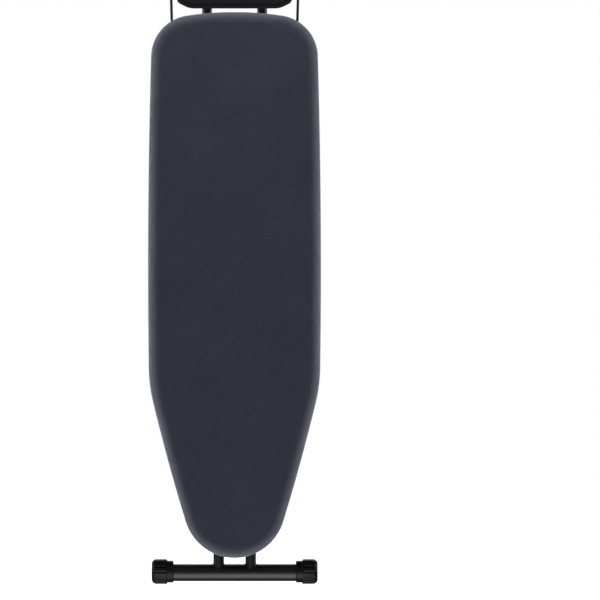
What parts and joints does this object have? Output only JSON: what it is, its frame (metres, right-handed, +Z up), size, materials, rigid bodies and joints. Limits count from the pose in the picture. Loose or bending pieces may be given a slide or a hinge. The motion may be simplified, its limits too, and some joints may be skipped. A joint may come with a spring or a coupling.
{
  "type": "ironing board",
  "caption": "Folding ironing board, folded flat: padded cloth-covered deck on crossed tube legs, with T-feet, levelling caps and an iron rest.",
  "frame": {"origin": "on the ground under the middle of the folded board's box", "axes": "+Z up from the nose to the iron rest, +X to the right, the cover faces -Y"},
  "size_m": [0.38, 0.0938, 1.521],
  "materials": {
    "cover_fabric": "fine woven cotton, charcoal blue",
    "pad_felt": "needled felt, off-white",
    "deck_steel": "satin black powder coat",
    "rack_steel": "satin black powder coat",
    "zinc_steel": "bright zinc plate",
    "leg_black": "gloss black powder coat",
    "cap_plastic": "black, satin, fluted",
    "plug_plastic": "black, matte",
    "grip_rubber": "soft black",
    "tray_black": "matte black powder coat",
    "silicone": "dark grey silicone",
    "wire_black": "satin black powder coat"
  },
  "bodies": {
    "deck": {"board_cover": "cover_fabric", "board_pad": "pad_felt", "deck_panel": "deck_steel", "guard_clips": "plug_plastic", "heel_saddle_lower": "deck_steel", "heel_saddle_upper": "deck_steel", "height_rack": "rack_steel", "hinge_axle": "zinc_steel", "hinge_axle_caps": "zinc_steel", "hinge_bracket": "rack_steel", "hinge_bracket_rivets": "zinc_steel", "iron_guard_loop": "wire_black", "iron_rest_tray": "tray_black", "iron_rest_tube_left": "leg_black", "iron_rest_tube_right": "leg_black", "rack_screws": "zinc_steel", "rest_tube_plugs": "plug_plastic", "rib_front": "deck_steel", "rib_heel": "deck_steel", "rib_hinge": "deck_steel", "rib_middle": "deck_steel", "rib_nose": "deck_steel", "rib_rear": "deck_steel", "rim_frame": "deck_steel", "tray_screws": "zinc_steel", "tray_silicone_strips": "silicone"},
    "inner_legs": {"inner_leg_tube_left": "leg_black", "inner_leg_tube_right": "leg_black", "inner_hinge_lugs": "leg_black", "inner_leg_plugs": "plug_plastic", "inner_brace_lower": "leg_black", "inner_brace_upper": "leg_black", "hinge_spacers": "zinc_steel", "pivot_spacer_tube": "zinc_steel", "nose_foot_tube": "leg_black", "nose_foot_inserts": "plug_plastic"},
    "outer_legs": {"outer_leg_tube_left": "leg_black", "outer_leg_tube_right": "leg_black", "outer_slide_lugs": "leg_black", "outer_leg_plugs": "plug_plastic", "outer_brace_plate": "leg_black", "cross_pivot_axle": "zinc_steel", "pivot_axle_caps": "zinc_steel", "pivot_washers": "plug_plastic", "slide_crossbar": "zinc_steel", "crossbar_caps": "zinc_steel", "heel_foot_tube": "leg_black", "heel_foot_inserts": "plug_plastic"},
    "slide_carriage": {"slide_carriage": "plug_plastic", "lever_spring": "zinc_steel"},
    "release_lever": {"release_lever": "plug_plastic", "lever_grip": "grip_rubber"},
    "nose_cap_left": {"nose_foot_cap_left": "cap_plastic"},
    "nose_cap_right": {"nose_foot_cap_right": "cap_plastic"},
    "heel_cap_left": {"heel_foot_cap_left": "cap_plastic"},
    "heel_cap_right": {"heel_foot_cap_right": "cap_plastic"}
  },
  "joints": [
    {"name": "leg_fold", "type": "hinge", "parent": "deck", "child": "inner_legs", "pos_m": [0, -0.00337, 1.059], "axis": [1, 0, 0], "range_deg": [0, 60]},
    {"name": "cross_pivot", "type": "hinge", "parent": "inner_legs", "child": "outer_legs", "pos_m": [0, 0.01413, 0.609], "axis": [-1, 0, 0], "range_deg": [0, 120]},
    {"name": "carriage_pivot", "type": "hinge", "parent": "outer_legs", "child": "slide_carriage", "pos_m": [0, -0.00337, 0.159], "axis": [1, 0, 0], "range_deg": [0, 60]},
    {"name": "release_lever", "type": "hinge", "parent": "slide_carriage", "child": "release_lever", "pos_m": [0, -0.00337, 0.159], "axis": [-1, 0, 0], "range_deg": [-7, 8], "stiffness_Nm_per_rad": 0.5, "springref_deg": -7},
    {"name": "nose_cap_left_turn", "type": "hinge", "parent": "inner_legs", "child": "nose_cap_left", "pos_m": [-0.183, 0.01963, 0.02495], "axis": [1, 0, 0], "continuous": true},
    {"name": "nose_cap_right_turn", "type": "hinge", "parent": "inner_legs", "child": "nose_cap_right", "pos_m": [0.183, 0.01963, 0.02495], "axis": [1, 0, 0], "continuous": true},
    {"name": "heel_cap_left_turn", "type": "hinge", "parent": "outer_legs", "child": "heel_cap_left", "pos_m": [-0.15, 0.01963, 1.19305], "axis": [1, 0, 0], "continuous": true},
    {"name": "heel_cap_right_turn", "type": "hinge", "parent": "outer_legs", "child": "heel_cap_right", "pos_m": [0.15, 0.01963, 1.19305], "axis": [1, 0, 0], "continuous": true}
  ],
  "couplings": [
    {"joint": "cross_pivot", "follows": "leg_fold", "ratio": 2},
    {"joint": "carriage_pivot", "follows": "leg_fold", "ratio": 1}
  ]
}
